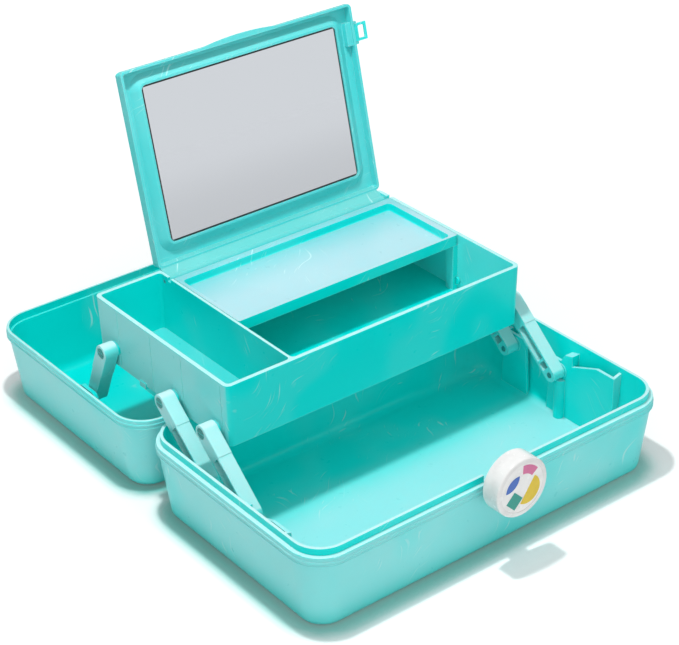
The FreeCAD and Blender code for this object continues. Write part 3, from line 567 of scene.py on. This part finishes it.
def palette_plastic():
    """Marbled plastic of the palette: painted light in front and painted shade towards the mirror."""
    low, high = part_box("palette_tray")
    turn = {
        "axis": "Y",
        "span": (low[1] + PAN_TURN_SHARE * (high[1] - low[1]), high[1]),
        "limit": high[2] + PAN_FLOOR_LIMIT,
        "turned": PALETTE_DEEP,
    }
    return marbled_plastic(
        "marbled_palette", TURQUOISE, TURQUOISE, PALETTE_TURQUOISE, offset=(2.2, 1.3, 0.2), turn=turn)


def dress_all():
    """Materials for every CAD node: by its slot, or its own where it has one."""
    looks = {
        "case_plastic": case_plastic(),
        # Arms: painted light on upward faces and painted sheen outside
        "arm_plastic": marbled_plastic(
            "marbled_arm", ARM_DEEP, ARM_TURQUOISE, ARM_PALE, offset=(0.3, 0.8, 0.1), across=(1, 0, 0)),
        "pin_steel": plain_material("drawn_steel", STEEL, roughness=0.3, metallic=1.0),
        "mirror_silver": mirror_material(),
        "pad_foam": plain_material("pad_foam", FOAM, roughness=0.9),
        "latch_white": plain_material("white_plastic", WHITE_PLASTIC, roughness=0.25, coat=0.2),
        "disc_print": plain_material("printed_disc", DISC_WHITE, roughness=0.25, coat=0.2),
    }
    special = {
        "lid_shell": lid_plastic(),
        "tray_shell": tray_plastic(),
        "palette_tray": palette_plastic(),
        # Cover: painted light on its level faces
        "cover_frame": marbled_plastic(
            "marbled_cover", COVER_TURQUOISE, COVER_TURQUOISE, COVER_PALE, offset=(0.9, 1.1, 2.4)),
        # Pins: outer heads painted dark, a painted shade
        "tray_snap_pins": marbled_plastic(
            "marbled_pin", TURQUOISE, PIN_TURQUOISE, TURQUOISE, offset=(0.6, 0.2, 0.5), across=(1, 0, 0),
            outside_range=PIN_OUTSIDE_RANGE),
    }
    for part in frame["record"]["subparts"]:
        piece = nodes[part["node"]]
        piece.data.materials.clear()
        piece.data.materials.append(special.get(part["node"], looks[part["material_slot"]]))


def printed_shape(name, outline, colour):
    """Thin plate of ink on the latch disc; its outline is in millimetres about the disc's middle."""
    shape = bmesh.new()
    corners = [shape.verts.new((x / 1000, 0, z / 1000)) for x, z in outline]
    face = shape.faces.new(corners)
    solid = bmesh.ops.extrude_face_region(shape, geom=[face])
    moved = [part for part in solid["geom"] if isinstance(part, bmesh.types.BMVert)]
    bmesh.ops.translate(shape, verts=moved, vec=(0, -PRINT_THICKNESS, 0))
    bmesh.ops.recalc_face_normals(shape, faces=shape.faces)
    mesh = bpy.data.meshes.new(name)
    shape.to_mesh(mesh)
    shape.free()
    piece = bpy.data.objects.new(name, mesh)
    piece.location = DISC_CENTRE
    scene.collection.objects.link(piece)
    mesh.materials.append(plain_material(name + "_ink", colour, PRINT_ROUGHNESS))
    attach(piece, "latch")


def arc(centre, radius, start, end, steps=24):
    """Points on an arc, in degrees from the x axis."""
    points = []
    for step in range(steps + 1):
        angle = math.radians(start + (end - start) * step / steps)
        points.append((centre[0] + radius * math.cos(angle), centre[1] + radius * math.sin(angle)))
    return points


def lozenge(centre, half):
    """Outline of a square that stands on a corner, with half its diagonal."""
    x, z = centre
    return [(x, z - half), (x + half, z), (x, z + half), (x - half, z)]


def band(radii, angles):
    """Outline of a bent band between two radii and two angles."""
    inner, outer = radii
    start, end = angles
    return arc((0, 0), outer, start, end) + arc((0, 0), inner, end, start)


def leaf(centre, half, rise, slope):
    """Outline of a leaf: two arcs on one chord, with its half length, its rise and its slope in degrees."""
    radius = (half ** 2 + rise ** 2) / (2 * rise)
    spread = math.degrees(math.asin(half / radius))
    back = radius - rise
    points = []
    for side in (90, -90):
        turn = math.radians(slope + side)
        middle = (centre[0] - back * math.cos(turn), centre[1] - back * math.sin(turn))
        points += arc(middle, radius, slope + side - spread, slope + side + spread)[:-1]
    return points


def add_print():
    """Plain coloured shapes on the latch disc: a half round, a lozenge, a bent band and a leaf."""
    half_round = arc(HALF_ROUND_CENTRE, HALF_ROUND_RADIUS, *HALF_ROUND_ANGLES)
    printed_shape("print_half_round", half_round, PRINT_YELLOW)
    printed_shape("print_lozenge", lozenge(LOZENGE_CENTRE, LOZENGE_HALF), PRINT_TEAL)
    printed_shape("print_band", band(BAND_RADII, BAND_ANGLES), PRINT_PINK)
    printed_shape("print_leaf", leaf(LEAF_CENTRE, LEAF_HALF, LEAF_RISE, LEAF_SLOPE), PRINT_BLUE)


def add_camera():
    """Camera at the viewing angle, with its small roll."""
    a = math.radians(CAMERA_AZIMUTH)
    e = math.radians(CAMERA_ELEVATION)
    r = math.radians(CAMERA_ROLL)
    back = Vector((math.sin(a) * math.cos(e), -math.cos(a) * math.cos(e), math.sin(e)))
    level = Vector((math.cos(a), math.sin(a), 0))
    rise = back.cross(level)
    right = level * math.cos(r) + rise * math.sin(r)
    up = rise * math.cos(r) - level * math.sin(r)
    data = bpy.data.cameras.new("camera")
    data.lens = CAMERA_LENS
    data.sensor_width = SENSOR_WIDTH
    data.clip_start = NEAREST_SEEN
    camera = bpy.data.objects.new("camera", data)
    turn = Matrix((right, up, back)).transposed().to_4x4()
    camera.matrix_world = Matrix.Translation(CAMERA_PLACE) @ turn
    scene.collection.objects.link(camera)
    scene.camera = camera


def add_lamp():
    """Small soft lamp high above the case, with the power that gives the floor its level."""
    data = bpy.data.lights.new("overhead", "AREA")
    data.shape = "DISK"
    data.size = LAMP_SIZE
    data.energy = LAMP_LIGHT * (math.pi * LAMP_PLACE[2]) ** 2
    lamp = bpy.data.objects.new("overhead", data)
    lamp.location = LAMP_PLACE
    scene.collection.objects.link(lamp)


def seen_directly(tree):
    """1 for rays from the camera, and 1 for rays from gloss and through glass; both show the backdrop."""
    path = tree.nodes.new("ShaderNodeLightPath")
    gloss = math_node(tree, "MAXIMUM", path.outputs["Is Glossy Ray"], path.outputs["Is Transmission Ray"])
    return path.outputs["Is Camera Ray"], gloss


def floor_glow(tree):
    """Glow of the floor: white away from the lamp for the camera, and a pale backdrop for gloss."""
    length = tree.nodes.new("ShaderNodeVectorMath")
    length.operation = "LENGTH"
    tree.links.new(tree.nodes.new("ShaderNodeTexCoord").outputs["Object"], length.inputs[0])
    distance = length.outputs["Value"]
    camera, gloss = seen_directly(tree)
    glow = math_node(tree, "MINIMUM", times(tree, distance, FLOOR_GLOW), MOST_GLOW)
    far = fade(tree, distance, *SHINE_DISTANCES)
    shine = math_node(tree, "ADD", times(tree, far, SHINE_FAR - SHINE_NEAR), SHINE_NEAR)
    risen = math_node(tree, "MULTIPLY", distance, SHINE_RISE, clamp=True)
    return math_node(tree, "ADD", times(tree, glow, camera), times(tree, times(tree, risen, shine), gloss))


def add_floor():
    """Pale floor that takes soft shadows, with a painted dark teal contact shadow at the foot of the case."""
    bpy.ops.mesh.primitive_plane_add(size=FLOOR_SIZE, location=FLOOR_PLACE)
    floor = bpy.context.object
    floor.name = "floor"
    material, tree, shader = new_material("pale_floor")
    # Painted contact shadow: the floor turns dark teal where the case shuts out its surroundings
    contact = tree.nodes.new("ShaderNodeAmbientOcclusion")
    contact.samples = CONTACT_SAMPLES
    contact.inputs["Distance"].default_value = CONTACT_REACH
    open_share = fade(tree, contact.outputs["AO"], *CONTACT_RANGE)
    tree.links.new(mix_colour(tree, open_share, CONTACT, FLOOR), shader.inputs["Base Color"])
    shader.inputs["Roughness"].default_value = FLOOR_ROUGHNESS
    shader.inputs["Specular IOR Level"].default_value = FLOOR_SPECULAR
    shader.inputs["Emission Color"].default_value = (1, 1, 1, 1)
    tree.links.new(floor_glow(tree), shader.inputs["Emission Strength"])
    floor.data.materials.append(material)


def add_world():
    """White surroundings whose light on the case comes from above and from the front."""
    world = bpy.data.worlds.new("studio")
    scene.world = world
    world.use_nodes = True
    tree = world.node_tree
    background = tree.nodes["Background"]
    background.inputs["Color"].default_value = (1, 1, 1, 1)
    direct = math_node(tree, "MAXIMUM", *seen_directly(tree))
    direction = tree.nodes.new("ShaderNodeTexCoord").outputs["Generated"]
    height = math_node(tree, "MAXIMUM", split(tree, direction)["Z"], 0.0)
    overhead = times(tree, math_node(tree, "POWER", height, ZENITH_FALL), ZENITH_LIGHT - HORIZON_LIGHT)
    toward = math_node(tree, "MAXIMUM", dot(tree, direction, FRONT_SIDE), 0.0)
    sky = math_node(tree, "ADD", overhead, times(tree, toward, FRONT_LIGHT))
    sky = math_node(tree, "ADD", sky, HORIZON_LIGHT)
    tree.links.new(math_node(tree, "MAXIMUM", sky, direct), background.inputs["Strength"])


dress_all()
add_print()
add_camera()
add_world()
add_floor()
add_lamp()
scene.view_settings.view_transform = "Standard"
